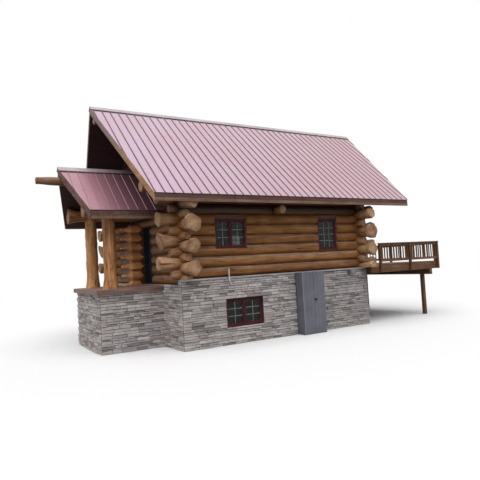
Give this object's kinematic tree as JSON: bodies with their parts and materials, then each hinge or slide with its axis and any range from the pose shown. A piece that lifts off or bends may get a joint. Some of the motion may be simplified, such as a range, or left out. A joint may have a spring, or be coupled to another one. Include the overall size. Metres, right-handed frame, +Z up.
{
  "type": "log cabin",
  "caption": "Hand-scribed log cabin on a stone basement, with a ribbed metal roof, a post-and-log entry porch and a railed timber deck.",
  "frame": {"origin": "middle of the underside of the basement slab, on the ground", "axes": "+X along the ridge from the porch to the deck, +Y from the window front to the back, +Z up"},
  "size_m": [16.0453, 8.706, 8.7308],
  "materials": {
    "concrete": "matt, floated",
    "ledger_stone": "matt, split-faced stone in grey, tan and pink",
    "floor_boards": "satin, varnished boards",
    "stained_log": "satin, honey-brown stain over hand-peeled logs, checked and knotty",
    "dark_boards": "matt, nearly black stain",
    "soffit_boards": "matt, dark brown stain",
    "burgundy_metal": "satin burgundy paint on ribbed sheet",
    "brown_trim": "matt brown paint",
    "maroon_cladding": "satin maroon",
    "window_glass": "clear, dark room behind",
    "navy_paint": "satin, very dark blue",
    "dark_iron": "matt black",
    "porch_boards": "matt, pinkish brown, worn",
    "peeled_post": "satin, drawknifed and stained",
    "slate_paint": "matt slate blue-grey",
    "deck_wood": "matt, brown-stained softwood"
  },
  "bodies": {
    "cabin": {"back_roof_metal": "burgundy_metal", "back_roof_panel": "soffit_boards", "back_wall_logs": "stained_log", "back_window_frames": "maroon_cladding", "back_window_glass": "window_glass", "basement_back_wall": "ledger_stone", "basement_front_wall": "ledger_stone", "basement_left_wall": "ledger_stone", "basement_right_wall": "ledger_stone", "basement_slab": "concrete", "basement_window_frame": "maroon_cladding", "basement_window_glass": "window_glass", "closet_sides": "slate_paint", "closet_top": "slate_paint", "deck_back_rail": "deck_wood", "deck_beam": "deck_wood", "deck_door": "navy_paint", "deck_end_rail": "deck_wood", "deck_floor": "deck_wood", "deck_frame": "deck_wood", "deck_front_rail": "deck_wood", "deck_posts": "deck_wood", "eave_boards": "brown_trim", "entry_door_frame": "navy_paint", "entry_wing_logs": "stained_log", "front_roof_metal": "burgundy_metal", "front_roof_panel": "soffit_boards", "front_wall_logs": "stained_log", "front_window_frames": "maroon_cladding", "front_window_glass": "window_glass", "left_gable_infill": "dark_boards", "left_gable_logs_back": "stained_log", "left_gable_logs_front": "stained_log", "left_gable_logs_over_door": "stained_log", "main_floor": "floor_boards", "porch_back_roof_panel": "soffit_boards", "porch_base": "ledger_stone", "porch_floor": "porch_boards", "porch_front_roof_panel": "soffit_boards", "porch_plate_logs": "stained_log", "porch_posts": "peeled_post", "porch_ridge_cap": "burgundy_metal", "porch_ridge_log": "stained_log", "porch_roof_metal": "burgundy_metal", "porch_trim_boards": "brown_trim", "porch_truss": "stained_log", "ridge_cap": "burgundy_metal", "ridge_log": "stained_log", "right_gable_infill": "dark_boards", "right_gable_logs": "stained_log", "tie_log": "stained_log", "verge_boards": "brown_trim"},
    "entry_door": {"entry_door": "navy_paint", "entry_door_knobs": "dark_iron"},
    "closet_door_left": {"closet_door_left": "slate_paint"},
    "closet_door_right": {"closet_door_right": "slate_paint", "closet_knob": "dark_iron"}
  },
  "joints": [
    {"name": "entry_door_hinge", "type": "hinge", "parent": "cabin", "child": "entry_door", "pos_m": [-3.743, -0.16725, 3.15], "axis": [0, 0, 1], "range_deg": [0, 100]},
    {"name": "closet_left_hinge", "type": "hinge", "parent": "cabin", "child": "closet_door_left", "pos_m": [0.448, -3.98525, 1.11], "axis": [0, 0, -1], "range_deg": [0, 110]},
    {"name": "closet_right_hinge", "type": "hinge", "parent": "cabin", "child": "closet_door_right", "pos_m": [1.472, -3.98525, 1.11], "axis": [0, 0, 1], "range_deg": [0, 110]}
  ]
}
